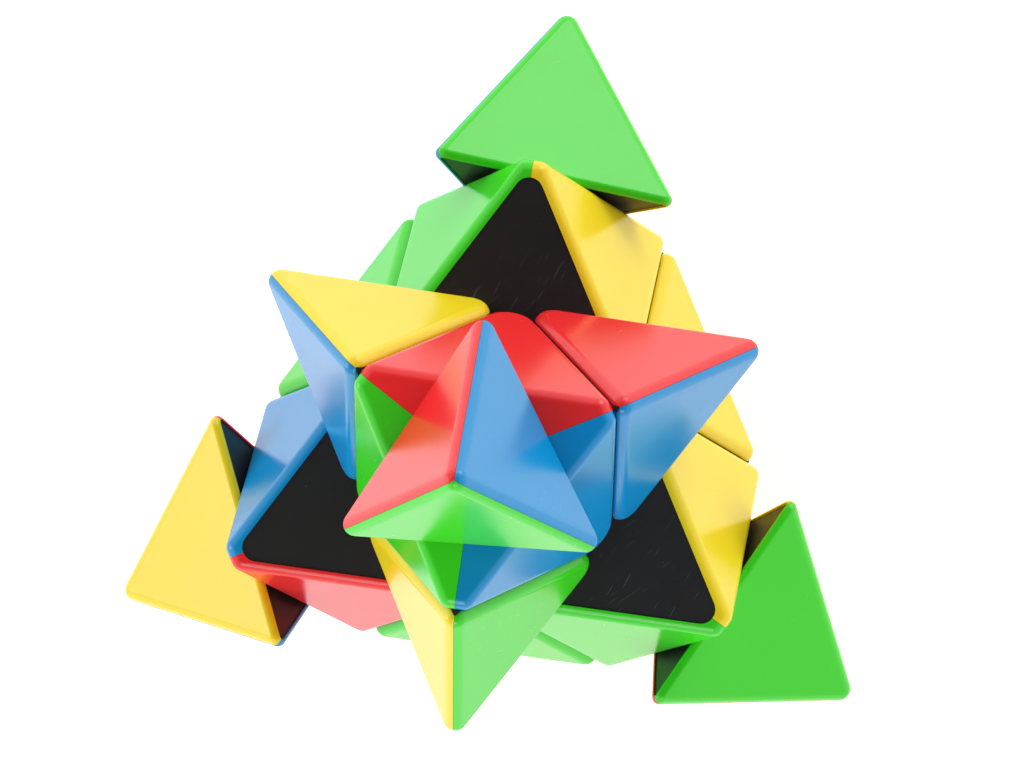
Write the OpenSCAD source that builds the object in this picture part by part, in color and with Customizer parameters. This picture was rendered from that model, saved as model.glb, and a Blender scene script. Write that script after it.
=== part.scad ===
// Pyramid twisty puzzle: a tetrahedron cut into four tips, four corner pieces and six edge
// pieces that turn about four axes of one hidden core.
// The origin is the centre of the core, where the four turning axes meet. +Z is the axis of
// the top corner. The puzzle is drawn part-turned: the top layer and all four tips are twisted.

/* [Overall] */
// Edge of the whole pyramid when every face is in line, over its rounded corners
puzzle_edge = 98; // [80:1:130]
// Radius that all the coloured edges and corners are eased to
edge_r = 1.6; // [0.6:0.1:2.4]
// Sharper radius along the lower edges of a tip
tip_base_r = 0.8; // [0.4:0.1:1.6]
// Radius of a corner piece's noses, which meet at the centres of the coloured faces
corner_nose_r = 3.8; // [1:0.1:4.4]
// Radius of an edge piece's noses, which meet there too
edge_nose_r = 2.8; // [1:0.1:4]
// How far the coloured faces stand out past the three-way grid of cuts
face_lift = 0.6; // [0:0.1:1]
// Free gap between two pieces that turn past each other
turn_gap = 0.3; // [0.2:0.05:0.6]

/* [Twist at rest] */
// Turn of the top layer against the rest of the puzzle
top_layer_turn = 59.3; // [0:0.1:120]
// Turn of the top tip on its corner piece
top_tip_turn = 64.6; // [-180:0.1:180]
// Turn of the rear tip on its corner piece
rear_tip_turn = 74.9; // [-180:0.1:180]
// Turn of the left tip on its corner piece
left_tip_turn = -165.4; // [-180:0.1:180]
// Turn of the right tip on its corner piece
right_tip_turn = -69.9; // [-180:0.1:180]

/* [Coloured caps] */
// Wall of a coloured cap
cap_t = 1.1; // [0.8:0.1:1.6]
// Wall of a corner piece's caps on the side that faces the tip
tip_side_t = 2.2; // [1.6:0.1:2.8]
// Gap between a cap and the black body it snaps onto
snap_gap = 0.05; // [0.02:0.01:0.1]
// Seam between two caps of one piece
seam = 0.04; // [0.02:0.01:0.2]
// How far the black faces lie below the rim of the caps
recess = 0.12; // [0.05:0.01:0.3]
// Radius of the peg behind each cap
peg_r = 1.2; // [0.8:0.1:1.5]
// Wall left around the cored-out pockets of the black bodies
core_wall = 1.8; // [1.2:0.1:2.4]
// Length of the peg behind each cap
peg_len = 2.6; // [1.5:0.1:3]
// Radial clearance of a peg in its socket
peg_gap = 0.05; // [0.02:0.01:0.1]

/* [Core and feet] */
// Radius of the core ball
core_r = 9; // [7:0.1:10]
// Radius of the four arms that the corner pieces turn on
arm_r = 3.2; // [2.6:0.1:3.6]
// Radial clearance of a corner piece on its arm
bearing_gap = 0.05; // [0.03:0.01:0.1]
// Wall of the hub around an arm
hub_wall = 1.8; // [1.2:0.1:1.9]
// Thickness of the feet that hold the edge pieces in
foot_t = 2.7; // [2:0.1:3.2]
// Height, from the core's centre, of the cut that parts the layers between the feet
foot_h = 3; // [2.6:0.1:3.4]
// Height of the cut that parts the layers beside the necks of the feet
neck_h = 5.4; // [4.8:0.1:5.5]
// Length of the neck between an edge piece and its foot
neck_len = 3; // [2:0.1:4]

/* [Screw, spring and tip stem] */
// Radius of the screw's shank
screw_r = 1.25; // [1:0.05:1.5]
// Radius of the screw's head
head_r = 2.9; // [2.4:0.1:3.4]
// Height of the screw's head
head_h = 2; // [1.4:0.1:2.4]
// Depth of the screw below the top of its arm
screw_grip = 8; // [5:0.5:9]
// Radius of the well that holds the spring and the tip's stem
well_r = 4.2; // [3.8:0.1:4.6]
// Working length of the spring
spring_len = 5; // [4:0.1:6]
// Radius of the spring's wire
wire_r = 0.4; // [0.3:0.05:0.5]
// Number of turns in the spring
spring_turns = 4; // [3:1:6]
// Thickness of the washer on the spring
washer_t = 0.6; // [0.4:0.1:1]
// Thickness of the shelf that the spring pushes on
shelf_t = 1.6; // [1.2:0.1:2.4]
// Free length between the arm and the shelf
shelf_play = 1; // [0.6:0.1:1.5]
// Length of a tip's stem inside the corner piece
stem_len = 5; // [4:0.1:6]
// Radial clearance of the stem in the well
stem_gap = 0.08; // [0.04:0.01:0.1]
// How far the snap ring stands out of the stem
barb = 0.4; // [0.2:0.05:0.5]
// Width of the slots that let the stem spring shut
slot_w = 1.2; // [0.8:0.1:1.6]
// Thickness of a tip's base plate
plate_t = 1.3; // [1:0.1:2]
// Radius of the post inside a tip
post_r = 4; // [3:0.1:4.4]

/* [Hidden] */
root24 = sqrt(24);                 // edge of a regular tetrahedron, over the radius of its inner ball
axis_tilt = acos(-1 / 3);          // angle between two turning axes
half_tilt = axis_tilt / 2;         // angle between an axis and the middle of an edge
face_d = (puzzle_edge - 2 * edge_r) / root24 + edge_r;   // core centre to a coloured face
layer_h = (face_d - face_lift) / 3;                      // core centre to a layer's cut
tip_h = 5 * layer_h;                                     // core centre to a tip's cut
half_gap = turn_gap / 2;
reach = 2 * puzzle_edge;                                 // larger than any piece

foot_in_r = core_r + turn_gap;
foot_out_r = foot_in_r + foot_t;
neck_r = foot_out_r + turn_gap + neck_len;               // past this, the layers part at layer_h
hub_r = arm_r + bearing_gap + hub_wall;
hub_z = foot_in_r + half_gap;

// Stack along each turning axis, from the tip's cut down to the top of the arm
stem_z = tip_h - stem_len;
head_z = stem_z - shelf_play - head_h;
washer_z = head_z - washer_t;
shelf_top_z = washer_z - spring_len;
shelf_z = shelf_top_z - shelf_t;
arm_z = shelf_z - shelf_play;
barb_h = 1;
barb_z = stem_z + barb_h / 2;
hole_play = 0.1;                                         // radial room around the screw's shank
drive_w = 0.6;                                           // cross slots in the screw's head
drive_depth = 1;
wire_sides = 6;
wire_steps = 12;                                         // rings of the spring's wire in one turn

PAINT = [["red", "#e8262b"], ["green", "#35d61c"], ["blue", "#0083cd"], ["yellow", "#f5dc1e"]];
BLACK = "#1e1d1f";
STEEL = "#b9bcc0";
NYLON = "#d9d9d2";

// Name, azimuth, tilt of the axis, turn of the layer and of the tip, and the cap colours of
// the faces at 0, 120 and 240 degrees
CORNERS = [
    ["top", -90, 0, top_layer_turn, top_tip_turn, ["blue", "red", "green"]],
    ["rear", 90, axis_tilt, 0, rear_tip_turn, ["blue", "green", "yellow"]],
    ["left", 210, axis_tilt, 0, left_tip_turn, ["yellow", "red", "blue"]],
    ["right", 330, axis_tilt, 0, right_tip_turn, ["red", "yellow", "green"]]
];
// Name, azimuth, whether it belongs to the turned top layer, and its two cap colours
EDGES = [
    ["top_left", 90, true, ["blue", "yellow"]],
    ["top_front", 210, true, ["green", "yellow"]],
    ["top_right", 330, true, ["red", "blue"]],
    ["rear_left", 150, false, ["green", "blue"]],
    ["front", 270, false, ["green", "red"]],
    ["rear_right", 30, false, ["yellow", "red"]]
];

function piece_names(place, kind, colours) = concat(
    [str(place, "_", kind, "_body")],
    [for (c = colours) str(place, "_", kind, "_", c, "_cap")]);
NODES = concat(
    ["core", "tension_screws", "tension_springs", "spring_washers"],
    [for (c = CORNERS) each piece_names(c[0], "tip", c[5])],
    [for (c = CORNERS) each piece_names(c[0], "corner", c[5])],
    [for (e = EDGES) each piece_names(e[0], "edge", e[3])]);
node = "all";

// ---- Flat-faced solids: a plane is [outward normal, distance from the origin] ----

function tilted(azimuth, z) = let(s = sqrt(1 - z * z)) [s * cos(azimuth), s * sin(azimuth), z];
function total(v, i = 0) = i == len(v) - 1 ? v[i] : v[i] + total(v, i + 1);
// The flat that is tangent to the rounding of radius r where the given planes meet
function eased(planes, r) =
    let(m = total([for (p = planes) p[0]]), k = norm(m))
    [m / k, (total([for (p = planes) p[1]]) - len(planes) * r) / k + r];
function with_eased(planes, groups, r) =
    concat(planes, [for (g = groups) eased([for (i = g) planes[i]], r)]);
// The side of the plane midway between planes p and q that p is on
function mitre(p, q) = let(m = q[0] - p[0]) [m / norm(m), -seam / 2];
function shifted(p, d) = [p[0], p[1] + d];
function flipped(p) = [-p[0], -p[1]];

// The same side, but clear of a web left on that midway plane
function webbed(p, q) = shifted(mitre(p, q), -core_wall / 2);

module half_space(p) {
    n = p[0];
    rotate([0, acos(max(-1, min(1, n.z))), atan2(n.y, n.x)])
        translate([-reach, -reach, p[1] - 2 * reach])
            cube(2 * reach);
}

module cut_solid(planes) {
    intersection_for(p = planes) half_space(p);
}

// ---- Planes of the three kinds of piece ----

// Outer faces around a corner's axis, which is +Z
OUTER = [for (k = [0:2]) [tilted(120 * k, 1 / 3), face_d]];
// Hidden faces of a corner piece, towards the other three corners
INNER = [for (k = [0:2]) [tilted(120 * k + 60, -1 / 3), layer_h - half_gap]];
TIP = with_eased(
    with_eased(concat([[[0, 0, -1], -tip_h - half_gap]], OUTER),
        [[1, 2], [2, 3], [1, 3], [1, 2, 3], [0, 1, 2], [0, 2, 3], [0, 1, 3]], edge_r),
    [[0, 1], [0, 2], [0, 3]], tip_base_r);
// Faces in order: top, bottom, three outer, three inner
CORNER = with_eased(
    with_eased(
        concat([[[0, 0, 1], tip_h - half_gap], [[0, 0, -1], -layer_h - half_gap]], OUTER, INNER),
        concat(
            [for (k = [0:2]) [0, 2 + k]],
            [for (k = [0:2]) [2 + k, 5 + k]],
            [for (k = [0:2]) [2 + (k + 1) % 3, 5 + k]],
            [for (k = [0:2]) [1, 5 + k]],
            [for (k = [0:2]) [0, 2 + k, 2 + (k + 1) % 3, 5 + k]]),
        edge_r),
    [for (k = [0:2]) [1, 2 + k, 5 + k, 5 + (k + 2) % 3]], corner_nose_r);
// An edge piece lies along X, with its outer edge above the origin on Z
EDGE_OUTER = [for (side = [1, -1]) [[0, side * sin(half_tilt), cos(half_tilt)], face_d]];
// The two turning axes that an edge piece lies between, and the two that it never follows
NEAR_AXES = [for (side = [1, -1]) [side * sin(half_tilt), 0, cos(half_tilt)]];
FAR_AXES = [for (side = [1, -1]) [0, side * sin(half_tilt), -cos(half_tilt)]];
EDGE_INNER = [for (a = NEAR_AXES) flipped([a, layer_h + half_gap])];
// Faces in order: two outer, two inner
EDGE = with_eased(
    with_eased(
        concat(EDGE_OUTER, EDGE_INNER),
        [[0, 1], [0, 2], [0, 3], [1, 2], [1, 3], [0, 1, 2], [0, 1, 3]], edge_r),
    [[2, 3], [0, 2, 3], [1, 2, 3]], edge_nose_r);

function body_planes(outer) = [for (p = outer) shifted(p, -cap_t - snap_gap)];

// ---- Round parts ----

// The part of a ball that the given planes leave
module cut_ball(r, planes) {
    intersection() {
        sphere(r, $fn = 96);
        cut_solid(planes);
    }
}

module tube(r, hole_r, z0, z1) {
    translate([0, 0, z0]) difference() {
        cylinder(h = z1 - z0, r = r, $fn = 64);
        translate([0, 0, -1]) cylinder(h = z1 - z0 + 2, r = hole_r, $fn = 64);
    }
}

module rod(r, z0, z1) {
    translate([0, 0, z0]) cylinder(h = z1 - z0, r = r, $fn = 64);
}

// ---- Pegs behind the caps: each runs inwards along its face's normal ----

module along(normal, centre) {
    translate(centre) rotate([0, acos(normal.z), atan2(normal.y, normal.x)]) children();
}

module peg(normal, centre, play) {
    back = face_d - normal * centre - cap_t;
    along(normal, centre) rod(peg_r + play, back - peg_len - play, back + cap_t / 2);
}

// A pocket cored out of a body from behind a cap, around the boss that holds the cap's peg
module pocket(planes, normal, centre) {
    difference() {
        cut_solid(planes);
        along(normal, centre) rod(peg_r + core_wall, 0, face_d);
    }
}

// ---- Places ----

module at_corner(c) {
    rotate([0, 0, c[3]]) rotate([0, c[2], c[1]]) children();
}

module at_edge(e) {
    if (e[2]) rotate([0, 0, top_layer_turn]) rotate([0, half_tilt, e[1]]) children();
    else rotate([0, 180 - half_tilt, e[1]]) rotate([0, 0, 90]) children();
}

module on_every_axis() {
    for (c = CORNERS) at_corner(c) children();
}

function paint(name) = PAINT[search([name], PAINT)[0]][1];

// ---- Core, screws, springs and washers ----

module core() {
    color(NYLON) difference() {
        union() {
            sphere(core_r, $fn = 96);
            on_every_axis() rod(arm_r, 0, arm_z);
        }
        on_every_axis() rod(screw_r + snap_gap, arm_z - screw_grip, arm_z + 1);
    }
}

module tension_screws() {
    color(STEEL) on_every_axis() difference() {
        union() {
            rod(screw_r, arm_z - screw_grip + hole_play, head_z + drive_depth);
            rod(head_r, head_z, head_z + head_h);
        }
        for (turn = [0, 90]) rotate([0, 0, turn])
            translate([-head_r / 2, -drive_w / 2, head_z + head_h - drive_depth])
                cube([head_r, drive_w, 2 * drive_depth]);
    }
}

// Centre of the wire at a given number of turns, and the ring of points around it
function wire_ring(turns, coil_r, pitch) =
    let(a = 360 * turns, z = wire_r + pitch * turns)
    [for (k = [0:wire_sides - 1]) let(b = 360 * k / wire_sides)
        [(coil_r + wire_r * cos(b)) * cos(a), (coil_r + wire_r * cos(b)) * sin(a), z + wire_r * sin(b)]];

module spring() {
    steps = spring_turns * wire_steps;
    coil_r = head_r - wire_r;
    pitch = (spring_len - 2 * wire_r - 2 * hole_play) / spring_turns;
    points = [for (i = [0:steps]) each wire_ring(i / wire_steps, coil_r, pitch)];
    sides = [for (i = [0:steps - 1]) for (k = [0:wire_sides - 1])
        let(a = i * wire_sides, b = (k + 1) % wire_sides)
        each [[a + k, a + wire_sides + k, a + b], [a + b, a + wire_sides + k, a + wire_sides + b]]];
    ends = [
        [for (k = [0:wire_sides - 1]) k],
        [for (k = [wire_sides - 1:-1:0]) steps * wire_sides + k]];
    translate([0, 0, hole_play]) polyhedron(points, concat(sides, ends));
}

module tension_springs() {
    color(STEEL) on_every_axis() translate([0, 0, shelf_top_z]) spring();
}

module spring_washers() {
    color(STEEL) on_every_axis()
        tube(head_r + wire_r, screw_r + hole_play, washer_z, head_z);
}

// ---- Tips ----

module snap_stem() {
    stem_r = well_r - stem_gap;
    difference() {
        union() {
            rod(stem_r, stem_z, tip_h + half_gap + plate_t);
            rod(stem_r + barb, barb_z, barb_z + barb_h);
        }
        for (turn = [0, 90]) rotate([0, 0, turn])
            translate([-2 * well_r, -slot_w / 2, stem_z - 1]) cube([4 * well_r, slot_w, stem_len]);
    }
}

function tip_peg_centre() = [0, 0, tip_h + layer_h];

module tip_body(c) {
    floor_z = tip_h + half_gap + recess;
    color(BLACK) at_corner(c) rotate([0, 0, c[4]]) difference() {
        union() {
            cut_solid(concat(TIP, body_planes(OUTER),
                [[[0, 0, -1], -floor_z], [[0, 0, 1], floor_z + plate_t]]));
            intersection() {
                rod(post_r, floor_z, tip_h + 3 * layer_h);
                cut_solid(body_planes(OUTER));
            }
            snap_stem();
        }
        for (p = OUTER) peg(p[0], tip_peg_centre(), peg_gap);
    }
}

module tip_cap(c, k) {
    others = [for (j = [0:2]) if (j != k) OUTER[j]];
    color(paint(c[5][k])) at_corner(c) rotate([0, 0, c[4]]) {
        cut_solid(concat(TIP, [flipped(shifted(OUTER[k], -cap_t))], [for (q = others) mitre(OUTER[k], q)]));
        peg(OUTER[k][0], tip_peg_centre(), 0);
    }
}

// ---- Corner pieces ----

function corner_centre() = [0, 0, 3 * layer_h];

// The hidden faces of a corner piece where they stand back to let the necks of the feet past
NECK_CUTS = [for (p = INNER) [p[0], neck_h - half_gap]];

module corner_pocket(k) {
    others = [for (j = [0:2]) if (j != k) OUTER[j]];
    walls = concat([shifted(CORNER[0], -tip_side_t), CORNER[1]], NECK_CUTS);
    difference() {
        pocket(
            concat(
                [for (p = walls) shifted(p, -core_wall)],
                [for (q = others) webbed(OUTER[k], q)],
                [flipped([OUTER[k][0], foot_out_r + turn_gap + core_wall])]),
            OUTER[k][0], corner_centre());
        rod(well_r + barb + core_wall, 0, tip_h);
    }
}

// Directions along the hidden faces, away from the axes that the necks turn about
PAST_NECKS = [for (k = [0:2]) [tilted(120 * k + 60, sqrt(8) / 3)]];

// Past the necks of the feet a corner piece reaches its flat cuts. Further in it stands back
// from the necks, and it ends where the feet turn under it.
module corner_block() {
    planes = concat(
        CORNER, body_planes(OUTER), [for (p = INNER) shifted(p, -recess)],
        [shifted(CORNER[0], -tip_side_t - snap_gap), shifted(CORNER[1], -recess)]);
    for (p = concat(OUTER, PAST_NECKS))
        cut_solid(concat(planes, [flipped([p[0], neck_r + half_gap])]));
    for (p = concat(OUTER, [CORNER[0]]))
        cut_solid(concat(planes, NECK_CUTS, [flipped([p[0], foot_out_r + turn_gap])]));
}

module corner_body(c) {
    color(BLACK) at_corner(c) difference() {
        union() {
            difference() {
                corner_block();
                for (k = [0:2]) corner_pocket(k);
            }
            rod(hub_r, hub_z, shelf_top_z);
        }
        rod(arm_r + bearing_gap, 0, shelf_z);
        rod(screw_r + 2 * hole_play, 0, tip_h);
        rod(well_r, shelf_top_z, tip_h);
        rod(well_r + barb + stem_gap, barb_z - half_gap, barb_z + barb_h + half_gap);
        for (p = OUTER) peg(p[0], corner_centre(), peg_gap);
    }
}

module corner_cap(c, k) {
    others = [for (j = [0:2]) if (j != k) OUTER[j]];
    color(paint(c[5][k])) at_corner(c) {
        difference() {
            cut_solid(concat(CORNER, [for (q = others) mitre(OUTER[k], q)]));
            cut_solid([shifted(OUTER[k], -cap_t), shifted(CORNER[0], -tip_side_t)]);
            rod(well_r + turn_gap, layer_h, tip_h);
        }
        peg(OUTER[k][0], corner_centre(), 0);
    }
}

// ---- Edge pieces ----

function edge_centre() = [0, 0, 2 * layer_h / cos(half_tilt)];

// The short neck and the hooked foot that reach under the corner pieces
module foot() {
    difference() {
        cut_ball(foot_out_r, concat(
            [for (a = NEAR_AXES) flipped([a, foot_h + half_gap])],
            [for (a = FAR_AXES) [a, foot_h - half_gap]]));
        sphere(foot_in_r, $fn = 96);
    }
    difference() {
        cut_ball(neck_r, [for (a = NEAR_AXES) flipped([a, neck_h + half_gap])]);
        sphere(foot_out_r - turn_gap, $fn = 96);
    }
}

module edge_body(e) {
    inner = [for (p = EDGE_INNER) shifted(p, -recess)];
    color(BLACK) at_edge(e) difference() {
        union() {
            difference() {
                cut_solid(concat(EDGE, body_planes(EDGE_OUTER), inner));
                for (k = [0, 1]) pocket(
                    concat(
                        [for (p = EDGE_INNER) shifted(p, -core_wall)],
                        [webbed(EDGE_OUTER[k], EDGE_OUTER[1 - k])],
                        [flipped([[0, 0, 1], norm(edge_centre()) - core_wall])]),
                    EDGE_OUTER[k][0], edge_centre());
            }
            foot();
        }
        for (p = EDGE_OUTER) peg(p[0], edge_centre(), peg_gap);
    }
}

module edge_cap(e, k) {
    color(paint(e[3][k])) at_edge(e) {
        cut_solid(concat(
            EDGE, [flipped(shifted(EDGE_OUTER[k], -cap_t)), mitre(EDGE_OUTER[k], EDGE_OUTER[1 - k])]));
        peg(EDGE_OUTER[k][0], edge_centre(), 0);
    }
}

// ---- Nodes ----

function wanted(name) = node == "all" || node == name;

if (wanted("core")) core();
if (wanted("tension_screws")) tension_screws();
if (wanted("tension_springs")) tension_springs();
if (wanted("spring_washers")) spring_washers();
for (c = CORNERS) {
    tip = piece_names(c[0], "tip", c[5]);
    corner = piece_names(c[0], "corner", c[5]);
    if (wanted(tip[0])) tip_body(c);
    if (wanted(corner[0])) corner_body(c);
    for (k = [0:2]) {
        if (wanted(tip[k + 1])) tip_cap(c, k);
        if (wanted(corner[k + 1])) corner_cap(c, k);
    }
}
for (e = EDGES) {
    edge = piece_names(e[0], "edge", e[3]);
    if (wanted(edge[0])) edge_body(e);
    for (k = [0:1]) if (wanted(edge[k + 1])) edge_cap(e, k);
}
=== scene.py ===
# %% [markdown]
# # A pyramid twisty puzzle
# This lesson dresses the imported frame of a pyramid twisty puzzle. The frame already holds every
# piece at its real size: four tips, four corner pieces and six edge pieces around a hidden core.
# What it lacks is the look of moulded plastic, above all the soft rounding of every coloured
# edge. So the coloured caps are made again with true rounding, and the rest gets its finish.

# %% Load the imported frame
import math

import bmesh
import bpy
import numpy as np
from mathutils import Matrix, Vector
from mathutils.bvhtree import BVHTree


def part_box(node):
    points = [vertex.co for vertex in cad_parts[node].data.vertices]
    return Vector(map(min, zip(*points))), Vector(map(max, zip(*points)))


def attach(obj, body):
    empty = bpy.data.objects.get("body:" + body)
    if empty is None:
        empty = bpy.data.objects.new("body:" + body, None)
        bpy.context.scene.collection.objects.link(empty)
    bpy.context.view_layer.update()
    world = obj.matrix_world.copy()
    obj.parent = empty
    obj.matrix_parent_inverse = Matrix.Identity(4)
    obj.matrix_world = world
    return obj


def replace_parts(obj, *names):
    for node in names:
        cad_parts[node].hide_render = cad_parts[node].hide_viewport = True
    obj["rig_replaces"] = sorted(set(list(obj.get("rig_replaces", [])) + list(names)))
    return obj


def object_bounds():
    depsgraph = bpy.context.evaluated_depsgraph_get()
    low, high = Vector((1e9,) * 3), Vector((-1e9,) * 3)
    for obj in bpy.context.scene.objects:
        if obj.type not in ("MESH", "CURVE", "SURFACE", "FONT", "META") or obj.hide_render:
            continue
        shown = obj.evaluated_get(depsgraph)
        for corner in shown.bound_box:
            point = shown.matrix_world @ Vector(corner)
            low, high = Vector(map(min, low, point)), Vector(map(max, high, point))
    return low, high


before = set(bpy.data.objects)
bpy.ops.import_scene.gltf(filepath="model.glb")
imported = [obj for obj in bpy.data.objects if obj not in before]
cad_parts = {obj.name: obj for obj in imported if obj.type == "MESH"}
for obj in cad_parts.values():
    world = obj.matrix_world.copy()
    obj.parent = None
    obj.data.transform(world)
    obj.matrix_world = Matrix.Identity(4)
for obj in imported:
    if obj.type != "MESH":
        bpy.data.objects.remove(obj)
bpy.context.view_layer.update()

# %% [markdown]
# ## The sizes that everything follows
# One coloured face lies flat underneath, and the centre of the core is the origin. So the lowest
# point of an edge piece tells how far every coloured face is from the core. The cuts between the
# layers lie at equal steps below it. The other sizes are the moulder's: the rounding of the
# coloured edges, the wall of a cap, and the gaps between pieces that turn. The springs pull the
# pieces together, so the rims of the caps almost touch, while the bodies inside keep more room.

# %% Sizes in metres
MM = 0.001
FACE = -min(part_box(f"front_edge_{colour}_cap")[0].z for colour in ("green", "red"))
FACE_LIFT = 0.6 * MM       # the coloured faces stand out this far past the grid of cuts
LAYER = (FACE - FACE_LIFT) / 3
TIP = 5 * LAYER
GAP = 0.07 * MM            # half the gap between two pieces
EDGE_R = 1.6 * MM          # rounding of the coloured edges
TIP_BASE_R = 0.8 * MM      # crisper rounding around the base of a tip
CORNER_NOSE_R = 3.8 * MM   # noses of a corner piece, in the middle of a coloured face
EDGE_NOSE_R = 2.8 * MM     # noses of an edge piece
WALL = 1.1 * MM            # wall of a cap
TIP_SIDE_WALL = 2.2 * MM   # a corner piece's caps are thicker on the side that faces the tip
LINING_R = 2.0 * MM        # rounding inside a corner or edge piece's cap
TIP_LINING_R = 0.6 * MM    # a tip's caps are sharper inside, where they frame its black base
SEAM = 0.02 * MM           # half the gap between two caps of one piece
PEG_R, PEG_LEN = 1.2 * MM, 2.6 * MM
STEM_HOLE_R = 4.5 * MM     # hole for a tip's stem
AXIS_TILT = math.acos(-1 / 3)
HALF_TILT = AXIS_TILT / 2
print(f"face at {FACE / MM:.2f} mm, layer cut at {LAYER / MM:.2f} mm, tip cut at {TIP / MM:.2f} mm")

# %% [markdown]
# ## Where each piece sits
# Every piece is drawn once, around +Z, and then turned to its place on the core. A corner piece
# and its tip follow one of four axes. An edge piece lies between two axes. The puzzle is shown in
# mid play: the top layer and all four tips are twisted.

# %% Places of the fourteen pieces
TOP_LAYER_TURN = 59.3
CORNERS = {  # azimuth and tilt of the axis, turn of the layer and of the tip, colours, bodies
    "top": (-90, 0, TOP_LAYER_TURN, 64.6, ("blue", "red", "green"), "top_layer"),
    "rear": (90, AXIS_TILT, 0, 74.9, ("blue", "green", "yellow"), "root"),
    "left": (210, AXIS_TILT, 0, -165.4, ("yellow", "red", "blue"), "root"),
    "right": (330, AXIS_TILT, 0, -69.9, ("red", "yellow", "green"), "root"),
}
EDGES = {  # azimuth, whether it is in the turned layer, colours
    "top_left": (90, True, ("blue", "yellow")),
    "top_front": (210, True, ("green", "yellow")),
    "top_right": (330, True, ("red", "blue")),
    "rear_left": (150, False, ("green", "blue")),
    "front": (270, False, ("green", "red")),
    "rear_right": (30, False, ("yellow", "red")),
}


def about_z(degrees):
    return Matrix.Rotation(math.radians(degrees), 4, "Z")


def corner_place(name):
    azimuth, tilt, turn = CORNERS[name][:3]
    return about_z(turn) @ about_z(azimuth) @ Matrix.Rotation(tilt, 4, "Y")


def edge_place(name):
    azimuth, on_top, _ = EDGES[name]
    if on_top:
        return about_z(TOP_LAYER_TURN + azimuth) @ Matrix.Rotation(HALF_TILT, 4, "Y")
    return about_z(azimuth) @ Matrix.Rotation(math.pi - HALF_TILT, 4, "Y") @ about_z(90)


print("places:", len(CORNERS), "axes and", len(EDGES), "edges")

# %% [markdown]
# ## Pieces as sets of flats
# Each piece of this puzzle is the space inside a few flats. Writing a flat as its outward
# direction and its distance from the core lets numpy find the sharp corners of any piece. Moving
# all flats in by the rounding's radius gives the inner solid that a ball can roll around.

# %% Flats and their corners


def flat(direction, distance):
    return np.array(direction, float), float(distance)


def leaning(azimuth, z):
    """Direction at an azimuth in degrees whose height is z."""
    across, a = math.sqrt(1 - z * z), math.radians(azimuth)
    return across * math.cos(a), across * math.sin(a), z


def moved(flats, by):
    return [flat(n, d + by) for n, d in flats]


def meeting(*three):
    """The point where three flats meet."""
    return np.linalg.solve([n for n, _ in three], [d for _, d in three])


def corners_of(flats):
    """Sharp corners of the solid inside the flats, each with the flats that meet there."""
    found = []
    close = 1e-7
    for i in range(len(flats)):
        for j in range(i):
            for k in range(j):
                three = flats[i], flats[j], flats[k]
                if abs(np.linalg.det([n for n, _ in three])) < 1e-6:
                    continue
                point = meeting(*three)
                if max(n @ point - d for n, d in flats) > close:
                    continue
                touching = {m for m, (n, d) in enumerate(flats) if abs(n @ point - d) < close}
                if not any(np.linalg.norm(point - p) < close for p, _ in found):
                    found.append((point, touching))
    return found


OUTER = [flat(leaning(120 * k, 1 / 3), FACE) for k in range(3)]
TIP_FLATS = [flat((0, 0, -1), -TIP - GAP), *OUTER]
CORNER_TOP, CORNER_FLOOR = flat((0, 0, 1), TIP - GAP), flat((0, 0, -1), -LAYER - GAP)
CORNER_INNER = [flat(leaning(120 * k + 60, -1 / 3), LAYER - GAP) for k in range(3)]
CORNER_FLATS = [CORNER_TOP, CORNER_FLOOR, *OUTER, *CORNER_INNER]
LEAN, RISE = math.sin(HALF_TILT), math.cos(HALF_TILT)
EDGE_OUTER = [flat((0, side * LEAN, RISE), FACE) for side in (1, -1)]
EDGE_INNER = [flat((-side * LEAN, 0, -RISE), -LAYER - GAP) for side in (1, -1)]
EDGE_FLATS = EDGE_OUTER + EDGE_INNER
for name, flats in (("tip", TIP_FLATS), ("corner", CORNER_FLATS), ("edge", EDGE_FLATS)):
    print(name, "piece:", len(flats), "flats,", len(corners_of(flats)), "sharp corners")

# %% [markdown]
# ## A ball that fits the flats
# Rounding a solid with radius r is the same as placing a ball of radius r at every corner of the
# inner solid and stretching a skin over all the balls. An ordinary sphere would do, but its
# facets wouldn't line up with the flats, and the skin would show faint ripples. So the ball is
# cut to measure: its points lie on the great arcs from one flat's direction to the next.

# %% Directions on a ball


def between(a, b, share):
    """A direction on the great arc from a to b."""
    angle = math.acos(max(-1.0, min(1.0, float(a @ b))))
    if angle < 1e-6:
        return a
    return (math.sin((1 - share) * angle) * a + math.sin(share * angle) * b) / math.sin(angle)


def fan(a, b, c, steps):
    """Directions that fill the patch of a ball between three directions."""
    rows = []
    for i in range(steps + 1):
        left, right = between(a, b, i / steps), between(a, c, i / steps)
        rows += [between(left, right, j / i) if i else a for j in range(i + 1)]
    return rows


def ball_for(flats, steps=8):
    """Directions over a whole ball that follow the flats of a solid."""
    made = []
    for _, touching in corners_of(flats):
        around = [flats[m][0] for m in touching]
        middle = sum(around) / np.linalg.norm(sum(around))
        side = np.cross(middle, around[0])
        up = np.cross(side, middle)
        around.sort(key=lambda n: math.atan2(n @ side, n @ up))
        for b, c in zip(around[1:], around[2:]):
            made += fan(around[0], b, c, steps)
    return np.unique(np.round(made, 9), axis=0)


print("ball for an edge piece:", len(ball_for(EDGE_FLATS)), "points")

# %% [markdown]
# ## One tree for every rounded block
# Geometry Nodes does the stretching, because the rule is the same for each block: put the ball on
# every point, join the balls into one cloud, and pull a Convex Hull over it. The radius and the
# ball are named inputs. The result is turned into a plain mesh, and the modifier is taken off.

# %% The rounded block tree


def point_mesh(name, points):
    mesh = bpy.data.meshes.new(name)
    mesh.from_pydata([tuple(p) for p in points], [], [])
    return bpy.data.objects.new(name, mesh)


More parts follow.
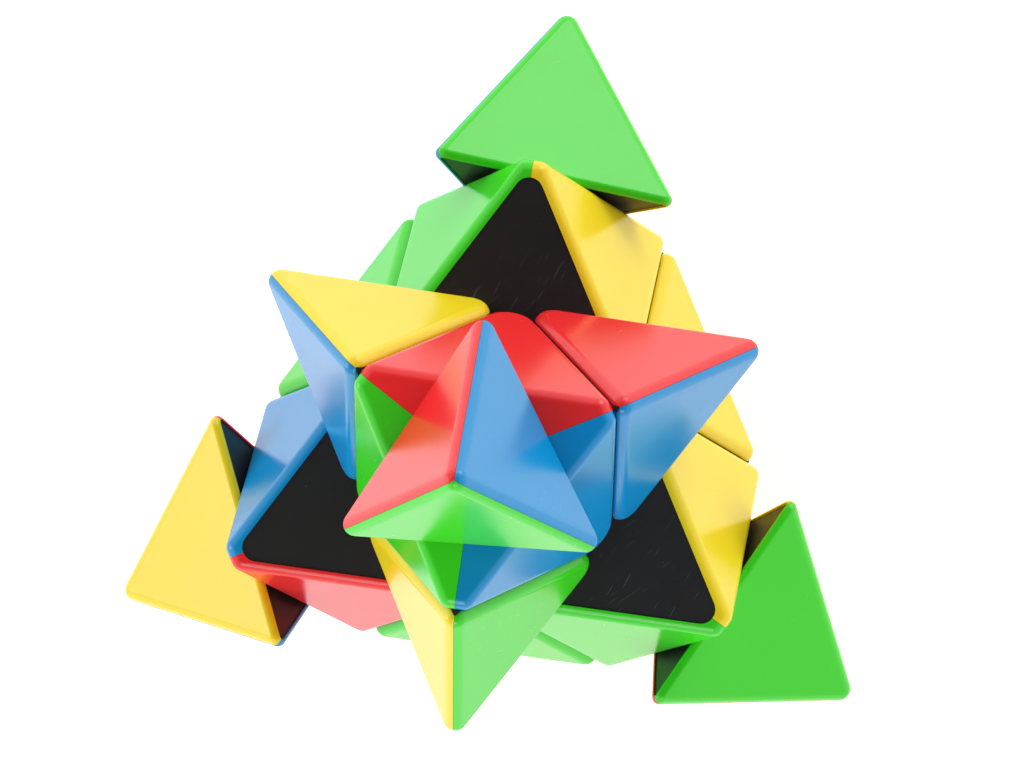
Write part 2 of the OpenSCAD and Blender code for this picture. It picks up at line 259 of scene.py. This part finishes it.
def new_tree(name, inputs):
    """A node group with a geometry input and output, and named inputs with defaults."""
    tree = bpy.data.node_groups.new(name, "GeometryNodeTree")
    tree.interface.new_socket("Geometry", in_out="INPUT", socket_type="NodeSocketGeometry")
    tree.interface.new_socket("Geometry", in_out="OUTPUT", socket_type="NodeSocketGeometry")
    for label, kind, default in inputs:
        socket = tree.interface.new_socket(label, in_out="INPUT", socket_type=kind)
        if default is not None:
            socket.default_value = default
    return tree, tree.nodes.new("NodeGroupInput"), tree.nodes.new("NodeGroupOutput")


def add(tree, kind, **links):
    """A node with its sockets filled: each gets a value, or a link from an output socket."""
    node = tree.nodes.new(kind)
    for label, value in links.items():
        socket = node.inputs[label.replace("_", " ")]
        if isinstance(value, bpy.types.NodeSocket):
            tree.links.new(value, socket)
        else:
            socket.default_value = value
    return node


def rounded_block_tree():
    tree, given, made = new_tree("rounded block", [
        ("Ball", "NodeSocketObject", None),
        ("Radius", "NodeSocketFloat", EDGE_R),
        ("Material", "NodeSocketMaterial", None)])
    ball = add(tree, "GeometryNodeObjectInfo", Object=given.outputs["Ball"], As_Instance=True)
    balls = add(tree, "GeometryNodeInstanceOnPoints", Points=given.outputs["Geometry"],
                Instance=ball.outputs["Geometry"], Scale=given.outputs["Radius"])
    cloud = add(tree, "GeometryNodeRealizeInstances", Geometry=balls.outputs["Instances"])
    skin = add(tree, "GeometryNodeConvexHull", Geometry=cloud.outputs["Geometry"])
    real = add(tree, "GeometryNodeRealizeInstances", Geometry=skin.outputs["Convex Hull"])
    done = add(tree, "GeometryNodeSetMaterial", Geometry=real.outputs["Geometry"],
               Material=given.outputs["Material"])
    tree.links.new(done.outputs["Geometry"], made.inputs["Geometry"])
    return tree


def run_tree(start, tree, inputs):
    """The plain mesh that a tree makes from an object, with its inputs set by name."""
    bpy.context.scene.collection.objects.link(start)
    modifier = start.modifiers.new(tree.name, "NODES")
    modifier.node_group = tree
    for item in tree.interface.items_tree:
        if item.in_out == "INPUT" and item.name in inputs:
            modifier[item.identifier] = inputs[item.name]
    shaped = start.evaluated_get(bpy.context.evaluated_depsgraph_get())
    mesh = bpy.data.meshes.new_from_object(shaped)
    start.modifiers.remove(modifier)
    bpy.data.objects.remove(start)
    return mesh


ROUNDED_BLOCK = rounded_block_tree()


def rounded(centres, directions, radius):
    """The skin over balls at the given centres, as a plain mesh."""
    ball = point_mesh("ball", directions)
    bpy.context.scene.collection.objects.link(ball)
    mesh = run_tree(point_mesh("centres", centres), ROUNDED_BLOCK,
                    {"Ball": ball, "Radius": radius})
    bpy.data.objects.remove(ball)
    return mesh


trial = rounded([p for p, _ in corners_of(moved(EDGE_FLATS, -EDGE_R))],
                ball_for(EDGE_FLATS), EDGE_R)
print("trial block:", len(trial.vertices), "points,", len(trial.polygons), "faces")

# %% [markdown]
# ## Ball centres of the three kinds of piece
# A tip has soft upright edges but a crisper rim underneath, because its rim is where the mould
# closes. So its small ball rolls over an inner solid that is already a little round. Corner and
# edge pieces have blunt noses where six of them meet in the middle of a coloured face. There the
# ball's centre runs along a short arc instead of standing on one point.

# %% Centres for a tip


def tip_centres(steps=8):
    soften = EDGE_R - TIP_BASE_R
    shrunk = moved(OUTER, -EDGE_R)
    apex = meeting(*shrunk)
    base_z = TIP + GAP + TIP_BASE_R
    normals = [n for n, _ in OUTER]
    centres = [apex + soften * d for d in fan(*normals, steps)]
    for a, b in ((0, 1), (1, 2), (2, 0)):
        down = np.cross(normals[a], normals[b])
        down *= -np.sign(down[2]) / np.linalg.norm(down)
        for i in range(steps + 1):
            start = apex + soften * between(normals[a], normals[b], i / steps)
            centres.append(start + down * (start[2] - base_z) / -down[2])
    return centres


print("tip:", len(tip_centres()), "ball centres")

# %% Centres for an edge piece


def edge_centres(steps=8):
    """Two ends of the coloured ridge, and two arcs at the noses."""
    softer = EDGE_NOSE_R - EDGE_R
    ends = [meeting(*moved([*EDGE_OUTER, inner], -EDGE_R)) for inner in EDGE_INNER]
    arc_flats = moved(EDGE_INNER, -EDGE_NOSE_R)
    centres = list(ends)
    for outer in moved(EDGE_OUTER, -EDGE_R):
        for i in range(steps + 1):
            direction = between(EDGE_INNER[0][0], EDGE_INNER[1][0], i / steps)
            axis_point = meeting(*arc_flats, flat((0, 1, 0), 0)) + softer * direction
            along = (outer[1] - outer[0] @ axis_point) / outer[0][1]
            centres.append(axis_point + np.array((0, along, 0)))
    return centres


print("edge piece:", len(edge_centres()), "ball centres")

# %% Centres for a corner piece


def corner_centres(steps=8):
    """Sharp corners beside the tip, and an arc with two feet at each nose."""
    shrunk = moved(CORNER_FLATS, -EDGE_R)
    floor = shrunk[1]
    centres = [p for p, touching in corners_of(shrunk) if 1 not in touching and p[2] > 2.5 * LAYER]
    softer = CORNER_NOSE_R - EDGE_R
    for k in range(3):
        outer, first, second = shrunk[2 + k], shrunk[5 + k], shrunk[5 + (k + 2) % 3]
        nose = meeting(outer, first, second)
        away = []
        for inner in (first, second):
            line = np.cross(outer[0], inner[0])
            line /= np.linalg.norm(line)
            away.append(line if line[2] > 0 else -line)
        middle = sum(away) / np.linalg.norm(sum(away))
        half = math.acos(float(middle @ away[0]))
        hub = nose + middle * softer / math.sin(half)
        spokes = [(nose + a * softer / math.tan(half) - hub) / softer for a in away]
        centres += [hub + softer * between(*spokes, i / steps) for i in range(steps + 1)]
        under = meeting(floor, first, second)
        for inner in (first, second):
            line = np.cross(floor[0], inner[0])
            line *= -np.sign(line @ outer[0]) / np.linalg.norm(line)
            centres.append(under + line * CORNER_NOSE_R)
    return centres


print("corner piece:", len(corner_centres()), "ball centres")

# %% [markdown]
# ## From a block to a cap
# The real caps are thin coloured shells that snap onto a black body, one for each coloured face,
# with a hairline seam where two of them meet on a ridge. So each block is parted along the seams,
# and a lining block is taken out of it. The lining has rounder ridges than the outside, which
# gives the black faces the soft corners that they show. Each cap also gets its peg.

# %% Cutting tools


def solid(name, mesh):
    made = bpy.data.objects.new(name, mesh)
    bpy.context.scene.collection.objects.link(made)
    return made


def parted(mesh, cuts):
    """The part of a closed convex mesh inside the given flats."""
    bm = bmesh.new()
    bm.from_mesh(mesh)
    bmesh.ops.remove_doubles(bm, verts=bm.verts, dist=1e-8)
    for n, d in cuts:
        bmesh.ops.bisect_plane(bm, geom=[*bm.verts, *bm.edges, *bm.faces], dist=1e-8,
                               plane_co=Vector(n * d), plane_no=Vector(n), clear_outer=True)
        bmesh.ops.edgeloop_fill(bm, edges=[e for e in bm.edges if e.is_boundary])
    bmesh.ops.recalc_face_normals(bm, faces=bm.faces)
    bm.to_mesh(mesh)
    bm.free()
    return mesh


def combined(mesh, others, operation):
    """mesh with the other closed meshes taken away or joined on."""
    work = solid("work", mesh)
    helpers = [solid("helper", other) for other in others]
    for helper in helpers:
        modifier = work.modifiers.new("cut", "BOOLEAN")
        modifier.operation, modifier.solver, modifier.object = operation, "MANIFOLD", helper
    shaped = work.evaluated_get(bpy.context.evaluated_depsgraph_get())
    made = bpy.data.meshes.new_from_object(shaped)
    for each in (work, *helpers):
        bpy.data.objects.remove(each)
    return made


def rod(direction, start, end, radius, sides=32):
    """A closed round rod along a direction, from one point to another."""
    bm = bmesh.new()
    bmesh.ops.create_cone(bm, cap_ends=True, segments=sides, radius1=radius, radius2=radius,
                          depth=(end - start).length)
    turn = Vector(direction).to_track_quat("Z", "Y").to_matrix().to_4x4()
    bm.transform(Matrix.Translation((start + end) / 2) @ turn)
    mesh = bpy.data.meshes.new("rod")
    bm.to_mesh(mesh)
    bm.free()
    return mesh


def seam_flat(mine, other):
    """The flat midway between two coloured faces, set back by half a seam."""
    away = other[0] - mine[0]
    return flat(away / np.linalg.norm(away), -SEAM)


def peg(face, centre_z):
    """The peg behind a cap, from inside its wall into the body."""
    n = Vector(face[0])
    foot = Vector((0, 0, centre_z))
    inner_face = foot + n * (face[1] - WALL - n.z * centre_z)
    return rod(n, inner_face - n * PEG_LEN, inner_face + n * WALL / 2, PEG_R)


print("tools ready: part, combine, rod, seam and peg")

# %% [markdown]
# ## Shading that knows the rounding
# A face's shading follows the directions stored at its corners. On a rounded block the true
# direction is known: it points from the nearest spot of the inner solid to the surface. Storing
# it makes flats look flat and roundings look round, with no ripple between them. The same measure
# gives each point a rounding value, which the plastic's finish uses for a painted highlight on the
# roundings and for their handling wear.

# %% Directions and rounding of a cap
SKIN_SLACK = 0.004 * MM    # a point this near to the ball's radius lies on the rounded skin
FULL_LEAN = 0.5            # angle from the nearest flat, in radians, that counts as fully round
SAME_WAY = 0.8             # how well a face has to agree with the stored directions


def skeleton(centres):
    """The inner solid that the ball rolls around, ready for nearest-spot questions."""
    bm = bmesh.new()
    for c in centres:
        bm.verts.new(c)
    bmesh.ops.convex_hull(bm, input=bm.verts)
    tree = BVHTree.FromBMesh(bm)
    bm.free()
    return tree


def finish_shading(mesh, bones, radius, flats):
    """Stores the true directions, and how round the cap is at each point."""
    outward, rounding, on_skin = [], [], []
    directions = np.array([n for n, _ in flats])
    for v in mesh.vertices:
        nearest = bones.find_nearest(v.co)
        away = v.co - nearest[0]
        on_skin.append(abs(away.length - radius) < SKIN_SLACK)
        away.normalize()
        outward.append(away)
        lean = math.acos(max(-1, min(1, float((directions @ np.array(away)).max()))))
        rounding.append(min(1, lean / FULL_LEAN) if on_skin[-1] else 0)
    normals = [None] * len(mesh.loops)
    for face in mesh.polygons:
        skin = all(on_skin[i] for i in face.vertices) and all(
            face.normal.dot(outward[i]) > SAME_WAY for i in face.vertices)
        for loop in face.loop_indices:
            normals[loop] = outward[mesh.loops[loop].vertex_index] if skin else face.normal.copy()
    mesh.shade_smooth()
    mesh.normals_split_custom_set(normals)
    mesh.attributes.new("rounding", "FLOAT", "POINT").data.foreach_set("value", rounding)
    return mesh


# %% [markdown]
# ## The three caps
# All caps of one kind are the same moulding in another colour, so each kind is made once and then
# copied to its places. A corner piece's cap bends over the side that faces the tip, around the
# hole for the tip's stem.

# %% Make one cap of each kind


def lining(inner_walls, open_flats, radius=LINING_R):
    """What is taken out of a block: inside its walls, and open at the other flats."""
    beyond = 4 * MM
    flats = inner_walls + moved(open_flats, beyond)
    return rounded([p for p, _ in corners_of(moved(flats, -radius))], ball_for(flats), radius)


def tip_cap():
    centres = tip_centres()
    directions = ball_for(TIP_FLATS)
    block = rounded(centres, directions, TIP_BASE_R)
    parted(block, [seam_flat(OUTER[0], OUTER[k]) for k in (1, 2)])
    inside = lining(moved(OUTER, -WALL), TIP_FLATS[:1], TIP_LINING_R)
    shell = combined(block, [inside], "DIFFERENCE")
    cap = combined(shell, [peg(OUTER[0], TIP + LAYER)], "UNION")
    return finish_shading(cap, skeleton(centres), TIP_BASE_R, TIP_FLATS)


def corner_cap():
    centres = corner_centres()
    block = rounded(centres, ball_for(CORNER_FLATS), EDGE_R)
    parted(block, [seam_flat(OUTER[0], OUTER[k]) for k in (1, 2)])
    hole = rod((0, 0, 1), Vector((0, 0, LAYER)), Vector((0, 0, TIP + LAYER)), STEM_HOLE_R, 64)
    inside = lining(moved([CORNER_TOP], -TIP_SIDE_WALL) + moved(OUTER, -WALL),
                    [CORNER_FLOOR, *CORNER_INNER])
    shell = combined(block, [inside, hole], "DIFFERENCE")
    cap = combined(shell, [peg(OUTER[0], 3 * LAYER)], "UNION")
    return finish_shading(cap, skeleton(centres), EDGE_R, CORNER_FLATS)


def edge_cap():
    centres = edge_centres()
    block = rounded(centres, ball_for(EDGE_FLATS), EDGE_R)
    parted(block, [seam_flat(*EDGE_OUTER)])
    shell = combined(block, [lining(moved(EDGE_OUTER, -WALL), EDGE_INNER)], "DIFFERENCE")
    cap = combined(shell, [peg(EDGE_OUTER[0], 2 * LAYER / RISE)], "UNION")
    return finish_shading(cap, skeleton(centres), EDGE_R, EDGE_FLATS)


CAPS = {"tip": tip_cap(), "corner": corner_cap(), "edge": edge_cap()}
for kind, mesh in CAPS.items():
    low = [min(v.co[i] for v in mesh.vertices) / MM for i in range(3)]
    high = [max(v.co[i] for v in mesh.vertices) / MM for i in range(3)]
    print(kind, "cap:", len(mesh.polygons), "faces,",
          "from", np.round(low, 2), "to", np.round(high, 2))

# %% [markdown]
# ## Shader maths in plain Python
# A finish is a sum of small patterns. Wrapping a node's socket in a class that knows +, -, * and /
# lets the patterns be written as ordinary expressions, and the class adds the Math nodes.

# %% A small class for shader maths


class Value:
    """A number that varies over a surface."""

    def __init__(self, paint, socket):
        self.paint, self.socket = paint, socket

    def maths(self, operation, a, b):
        return self.paint.node("ShaderNodeMath", {"operation": operation}, {0: a, 1: b})

    def __add__(self, other):
        return self.maths("ADD", self, other)

    def __sub__(self, other):
        return self.maths("SUBTRACT", self, other)

    def __rsub__(self, other):
        return self.maths("SUBTRACT", other, self)

    def __mul__(self, other):
        return self.maths("MULTIPLY", self, other)

    __radd__, __rmul__ = __add__, __mul__

    def above(self, low, high):
        """0 below low, 1 above high, and smooth between them."""
        return self.paint.node("ShaderNodeMapRange", {"interpolation_type": "SMOOTHSTEP"},
                               {"Value": self, "From Min": low, "From Max": high})


class Paint:
    """One material, with the same few steps for every finish."""

    def __init__(self, name, **constants):
        self.material = bpy.data.materials.new(name)
        self.material.use_nodes = True
        self.tree = self.material.node_tree
        self.shader = self.tree.nodes["Principled BSDF"]
        for label, value in constants.items():
            self.shader.inputs[label.replace("_", " ")].default_value = value

    def node(self, kind, settings=None, sockets=None, output=0):
        made = self.tree.nodes.new(kind)
        for key, value in (settings or {}).items():
            setattr(made, key, value)
        for key, value in (sockets or {}).items():
            self.join(value, made.inputs[key])
        return Value(self, made.outputs[output])

    def join(self, value, socket):
        if isinstance(value, Value):
            self.tree.links.new(value.socket, socket)
        else:
            socket.default_value = value

    def place(self, turn=(0, 0, 0), size=(1, 1, 1), shift=(0, 0, 0)):
        """Object coordinates, turned first and then measured in the given sizes."""
        raw = self.node("ShaderNodeTexCoord", output="Object")
        return self.node("ShaderNodeMapping", {"vector_type": "TEXTURE"}, {
            "Vector": raw, "Rotation": [math.radians(a) for a in turn],
            "Scale": size, "Location": shift})

    def noise(self, scale, detail=2.0, roughness=0.5, place=None):
        return self.node("ShaderNodeTexNoise", {}, {
            "Vector": place or self.place(), "Scale": scale, "Detail": detail,
            "Roughness": roughness})

    def blend(self, share, first, second):
        """A colour between two colours."""
        made = self.tree.nodes.new("ShaderNodeMix")
        made.data_type = "RGBA"
        for key, value in ((0, share), (6, first), (7, second)):
            self.join(value, made.inputs[key])
        return Value(self, made.outputs[2])

    def set(self, label, value):
        self.join(value, self.shader.inputs[label])

    def bumps(self, height, distance, strength=1.0):
        self.set("Normal", self.node("ShaderNodeBump", {}, {
            "Height": height, "Distance": distance, "Strength": strength}))


def linear(hex_colour):
    """A colour from its usual six digits, as the light that it gives back."""
    parts = [int(hex_colour[i:i + 2], 16) / 255 for i in (1, 3, 5)]
    return [p / 12.92 if p <= 0.04045 else ((p + 0.055) / 1.055) ** 2.4 for p in parts] + [1.0]


def shade(colour, factor):
    return [min(1, c * factor) for c in colour[:3]] + [colour[3]]


print("shader maths ready")

# %% [markdown]
# ## Marks of handling
# Puzzles like this one are polished in the mould and then handled a lot. Fingers leave short fine
# scratches in every direction, and a few specks of dust. A noise flattened into thin sheets, and
# kept only where it is strongest, crosses any surface in short lines. Three turns of it cross
# each other, and a broad noise spreads them unevenly, because wear is never even.

# %% Scratches and dust


def scratches(paint, width, length, share):
    """1 on fine short scratches, in three directions."""
    total = 0
    for i, turn in enumerate(((20, 35, 10), (75, -25, 50), (-40, 60, 115))):
        place = paint.place(turn, (length, length, width), (0.03 * i, 0.017 * i, 0))
        total = paint.noise(1.0, 1.0, 0.4, place).above(share, share + 0.04) + total
    patches = paint.noise(60, 2.0).above(0.48, 0.66)
    return total * patches


def dust(paint, size, share):
    """1 on small specks."""
    cells = paint.node("ShaderNodeTexVoronoi", {}, {
        "Vector": paint.place(), "Scale": 1 / size, "Randomness": 1.0}, "Distance")
    return (1 - cells.above(0.04, 0.09)) * paint.noise(0.6 / size).above(share, share + 0.02)


# %% [markdown]
# ## The coloured plastic
# The caps are glossy moulded plastic, dyed right through. The flats carry the finest frosting of
# the mould, and the roundings are a little glossier from handling. Their colour is also painted a
# little brighter, as a painted highlight along every rounded edge. The gloss does most of the work:
# faces that lean away mirror the pale room and look paler than those that look up.

# %% Four coloured plastics
PLASTIC = {"red": "#ea2a2c", "green": "#3ad21c", "blue": "#008ac8", "yellow": "#efd31c"}


def coloured_plastic(name, colour):
    base = linear(colour)
    paint = Paint(f"{name}_plastic", IOR=1.5, Specular_IOR_Level=0.5)
    rounding = paint.node("ShaderNodeAttribute", {"attribute_name": "rounding"}, {}, "Fac")
    frost = paint.noise(2600, 2.0)
    clouds = paint.noise(55, 3.0)
    marks = scratches(paint, 0.08 * MM, 2.4 * MM, 0.77)
    mottled = paint.blend(clouds, shade(base, 0.94), shade(base, 1.05))
    # Painted highlight: the roundings' colour is blended towards a brighter copy of the dye,
    # standing in for the light they catch.
    edge_highlighted = paint.blend(rounding * 0.35, mottled, shade(base, 1.08))
    paint.set("Base Color", paint.blend(marks * 0.10, edge_highlighted, [0.9, 0.9, 0.9, 1]))
    paint.set("Roughness", 0.15 + clouds * 0.06 + frost * 0.05 + marks * 0.25 - rounding * 0.03)
    paint.bumps(frost * 0.6 + paint.noise(420, 2.0) * 1.0 - marks * 0.8, 0.004 * MM, 0.8)
    return paint.material


COLOURED = {name: coloured_plastic(name, colour) for name, colour in PLASTIC.items()}
print("coloured plastics:", ", ".join(COLOURED))

# %% [markdown]
# ## The black plastic, the core and the metal
# The bodies under the caps are satin black, and the faces that rub on each other show fine pale
# scratches and dust. The core is milky white plastic that slides well. The screws, springs and
# washers are brushed steel, with a broken sheen along the metal.

# %% Black, white and steel


def black_plastic():
    paint = Paint("black_plastic", IOR=1.5, Specular_IOR_Level=0.5)
    grain = paint.noise(1500, 3.0)
    clouds = paint.noise(70, 3.0)
    marks = scratches(paint, 0.08 * MM, 4.5 * MM, 0.75)
    specks = dust(paint, 0.9 * MM, 0.62)
    dark = paint.blend(clouds, linear("#161416"), linear("#1d1b1d"))
    scuffed = paint.blend(marks * 0.4, dark, linear("#8a888a"))
    paint.set("Base Color", paint.blend(specks * 0.4, scuffed, linear("#9c9a98")))
    paint.set("Roughness", 0.30 + clouds * 0.12 + grain * 0.08 + marks * 0.2)
    paint.bumps(grain * 0.8 - marks, 0.006 * MM, 0.8)
    return paint.material


def core_plastic():
    paint = Paint("core_plastic", IOR=1.53, Specular_IOR_Level=0.5)
    clouds = paint.noise(120, 3.0)
    grain = paint.noise(1800, 2.0)
    marks = scratches(paint, 0.12 * MM, 2.0 * MM, 0.68)
    pale = paint.blend(clouds, linear("#d2d2ca"), linear("#e2e2dc"))
    paint.set("Base Color", paint.blend(marks * 0.3, pale, linear("#8f8f8a")))
    paint.set("Roughness", 0.38 + clouds * 0.15 + grain * 0.08)
    paint.bumps(grain - marks, 0.008 * MM, 0.8)
    return paint.material


def brushed_steel():
    paint = Paint("brushed_steel", Metallic=1.0, IOR=2.5)
    lines = paint.noise(1.0, 3.0, 0.6, paint.place((0, 0, 25), (3.3 * MM, 3.3 * MM, 0.11 * MM)))
    stains = paint.noise(300, 3.0)
    grey = paint.blend(lines, linear("#9fa2a6"), linear("#c9ccd0"))
    paint.set("Base Color", paint.blend(stains.above(0.55, 0.75) * 0.35, grey, linear("#86837e")))
    paint.set("Roughness", 0.24 + lines * 0.18 + stains * 0.10)
    paint.bumps(lines, 0.006 * MM, 0.7)
    return paint.material


BLACK, NYLON, STEEL = black_plastic(), core_plastic(), brushed_steel()
print("bodies, core and metal:", BLACK.name, NYLON.name, STEEL.name)

# %% [markdown]
# ## Copy the caps to their places
# A cap's mesh is copied, turned to its place and given its colour. The object itself stays at the
# origin, because the place is in the mesh. Each new cap stands for the frame's plain one and
# rides on the same body.

# %% Thirty-six caps


def put_cap(node, kind, place, colour, body):
    mesh = CAPS[kind].copy()
    mesh.name = node
    mesh.transform(place)
    mesh.materials.clear()
    mesh.materials.append(COLOURED[colour])
    piece = solid(node + "_rounded", mesh)
    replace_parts(piece, node)
    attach(piece, body)
    return piece


caps = []
for name, (_, _, _, tip_turn, colours, body) in CORNERS.items():
    for k, colour in enumerate(colours):
        place = corner_place(name) @ about_z(120 * k)
        caps.append(put_cap(f"{name}_corner_{colour}_cap", "corner", place, colour, body))
        place = corner_place(name) @ about_z(tip_turn + 120 * k)
        caps.append(put_cap(f"{name}_tip_{colour}_cap", "tip", place, colour, f"{name}_tip"))
for name, (_, on_top, colours) in EDGES.items():
    for k, colour in enumerate(colours):
        place = edge_place(name) @ about_z(180 * k)
        body = "top_layer" if on_top else "root"
        caps.append(put_cap(f"{name}_edge_{colour}_cap", "edge", place, colour, body))
worst = max((abs(a - b) for cap in caps for a, b in zip(
    [c for v in (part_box(cap["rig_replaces"][0])) for c in v],
    [f(v.co[i] for v in cap.data.vertices) for f in (min, max) for i in range(3)])))
print(len(caps), "caps; the boxes differ from the frame's by at most", round(worst / MM, 2), "mm")

# %% [markdown]
# ## Springs wound from wire
# A spring sits under each corner piece and sets how tightly it turns. A real one is round wire
# wound in a helix. Geometry Nodes has a spiral curve, and sweeping a circle along it gives the
# wire. The same tree puts one on each of the four axes.

# %% Four springs from one tree


def spring_tree():
    tree, given, made = new_tree("spring on each axis", [
        ("Coil radius", "NodeSocketFloat", 2.5 * MM),
        ("Wire radius", "NodeSocketFloat", 0.4 * MM),
        ("Height", "NodeSocketFloat", 4.0 * MM),
        ("Turns", "NodeSocketFloat", 4.0),
        ("Material", "NodeSocketMaterial", None)])
    spiral = add(tree, "GeometryNodeCurveSpiral", Resolution=40, Rotations=given.outputs["Turns"],
                 Start_Radius=given.outputs["Coil radius"], End_Radius=given.outputs["Coil radius"],
                 Height=given.outputs["Height"])
    ring = add(tree, "GeometryNodeCurvePrimitiveCircle", Resolution=12,
               Radius=given.outputs["Wire radius"])
    wire = add(tree, "GeometryNodeCurveToMesh", Curve=spiral.outputs["Curve"],
               Profile_Curve=ring.outputs["Curve"], Fill_Caps=True)
    turns = tree.nodes.new("GeometryNodeInputNamedAttribute")
    turns.data_type = "FLOAT_VECTOR"
    turns.inputs["Name"].default_value = "axis_turn"
    copies = add(tree, "GeometryNodeInstanceOnPoints", Points=given.outputs["Geometry"],
                 Instance=wire.outputs["Mesh"], Rotation=turns.outputs["Attribute"])
    real = add(tree, "GeometryNodeRealizeInstances", Geometry=copies.outputs["Instances"])
    smooth = add(tree, "GeometryNodeSetShadeSmooth", Geometry=real.outputs["Geometry"])
    done = add(tree, "GeometryNodeSetMaterial", Geometry=smooth.outputs["Geometry"],
               Material=given.outputs["Material"])
    tree.links.new(done.outputs["Geometry"], made.inputs["Geometry"])
    return tree


WIRE_R, SPRING_PLAY, SPRING_LEN = 0.4 * MM, 0.1 * MM, 5.0 * MM
SPRING_Z = TIP - 13.6 * MM     # where the springs stand, out along each axis
places = [corner_place(name) for name in CORNERS]
stands = point_mesh("spring stands", [m @ Vector((0, 0, SPRING_Z + SPRING_PLAY + WIRE_R))
                                      for m in places])
turn_store = stands.data.attributes.new("axis_turn", "FLOAT_VECTOR", "POINT")
turn_store.data.foreach_set("vector", [a for m in places for a in m.to_euler()])
springs = solid("tension_springs_wire", run_tree(stands, spring_tree(), {
    "Height": SPRING_LEN - 2 * (WIRE_R + SPRING_PLAY), "Material": STEEL}))
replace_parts(springs, "tension_springs")
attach(springs, "root")
low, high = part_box("tension_springs")
print("springs:", len(springs.data.polygons), "faces; the frame's reach from",
      [round(c / MM, 1) for c in low], "to", [round(c / MM, 1) for c in high])

# %% [markdown]
# ## Finish for the pieces that stay
# The black bodies, the core, the screws and the washers already have the right shape, so they
# only get their plastic or metal.

# %% Assign the finishes
FINISHES = {"core": NYLON, "tension_screws": STEEL, "spring_washers": STEEL}
kept = [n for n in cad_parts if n.endswith("_body") or n in FINISHES]
for node in kept:
    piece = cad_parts[node]
    piece.data.materials.clear()
    piece.data.materials.append(FINISHES.get(node, BLACK))
print("finished as they are:", len(kept), "nodes")

# %% [markdown]
# ## Floor, light and camera
# The puzzle stands on a wide pale floor in a white room, so that the faces that lean away mirror
# nothing but white and their own neighbours. Overhead the room is dim, as it is around a camera
# that looks down, and that keeps the faces that look up deep in colour. A broad soft lamp stands
# low behind and lays a haze over the rear tip, with weaker ones at the left and the front, and
# the floor glows, as a lit table does.

# %% Floor and light
FLOOR_HALF = 3.0
DIM_FROM, DIM_FULLY, OVERHEAD = 0.60, 0.90, 0.12   # heights where the room dims, and how far
floor_mesh = bpy.data.meshes.new("floor")
floor_mesh.from_pydata(
    [(x * FLOOR_HALF, y * FLOOR_HALF, 0) for x, y in ((-1, -1), (1, -1), (1, 1), (-1, 1))],
    [], [(0, 1, 2, 3)])
floor_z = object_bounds()[0].z
floor_mesh.transform(Matrix.Translation((0, 0, floor_z)))
floor = solid("floor", floor_mesh)
floor_paint = Paint("pale_floor", Roughness=0.75)
floor_paint.set("Base Color", floor_paint.blend(
    floor_paint.noise(14, 3.0), [0.88, 0.88, 0.88, 1], [0.92, 0.92, 0.92, 1]))
floor_paint.set("Emission Color", [1, 1, 1, 1])
floor_paint.set("Emission Strength", 0.6)
floor_mesh.materials.append(floor_paint.material)

scene = bpy.context.scene
scene.view_settings.view_transform = "Standard"
world = bpy.data.worlds.new("white_room")
world.use_nodes = True
room = world.node_tree
around = room.nodes.new("ShaderNodeTexCoord")
split = room.nodes.new("ShaderNodeSeparateXYZ")
height = room.nodes.new("ShaderNodeMapRange")
height.interpolation_type = "SMOOTHSTEP"
for label, value in (("From Min", DIM_FROM), ("From Max", DIM_FULLY),
                     ("To Min", 1.0), ("To Max", OVERHEAD)):
    height.inputs[label].default_value = value
room.links.new(around.outputs["Generated"], split.inputs["Vector"])
room.links.new(split.outputs["Z"], height.inputs["Value"])
room.links.new(height.outputs["Result"], room.nodes["Background"].inputs["Color"])
scene.world = world


def soft_lamp(name, place, size, watts, glint=1.0):
    """A square lamp aimed at the core. A low glint lights a face but shows less in its gloss."""
    lamp = bpy.data.lights.new(name, "AREA")
    lamp.size, lamp.energy, lamp.specular_factor = size, watts, glint
    holder = bpy.data.objects.new(name, lamp)
    holder.location = place
    holder.rotation_euler = (-Vector(place)).to_track_quat("-Z", "Y").to_euler()
    scene.collection.objects.link(holder)


soft_lamp("rear_softbox", (0.36, 1.06, 0.26), 0.7, 4.5)
soft_lamp("left_softbox", (-1.10, -0.15, 0.20), 0.6, 3.4, 0.55)
soft_lamp("front_softbox", (0.05, -0.85, 0.75), 0.6, 3.0, 0.3)
print("floor at", round(floor_z / MM, 2), "mm")

# %% Camera
LOOK_RIGHT = Vector((0.98743, 0.13009, -0.08962))
LOOK_UP = Vector((-0.13574, 0.98892, -0.06011))
LOOK_ALONG = Vector((-0.08080, -0.07153, -0.99416))
camera = bpy.data.cameras.new("camera")
camera.sensor_width, camera.lens = 36, 229.7
camera.clip_start, camera.clip_end = 0.01, 20
eye = bpy.data.objects.new("camera", camera)
turned = Matrix((LOOK_RIGHT, LOOK_UP, -LOOK_ALONG)).transposed().to_4x4()
spot = LOOK_RIGHT * 1.60 * MM + LOOK_UP * 8.08 * MM - LOOK_ALONG * 850.1 * MM
eye.matrix_world = Matrix.Translation(spot) @ turned
scene.collection.objects.link(eye)
scene.camera = eye
print("camera", round(spot.length, 3), "m from the core")
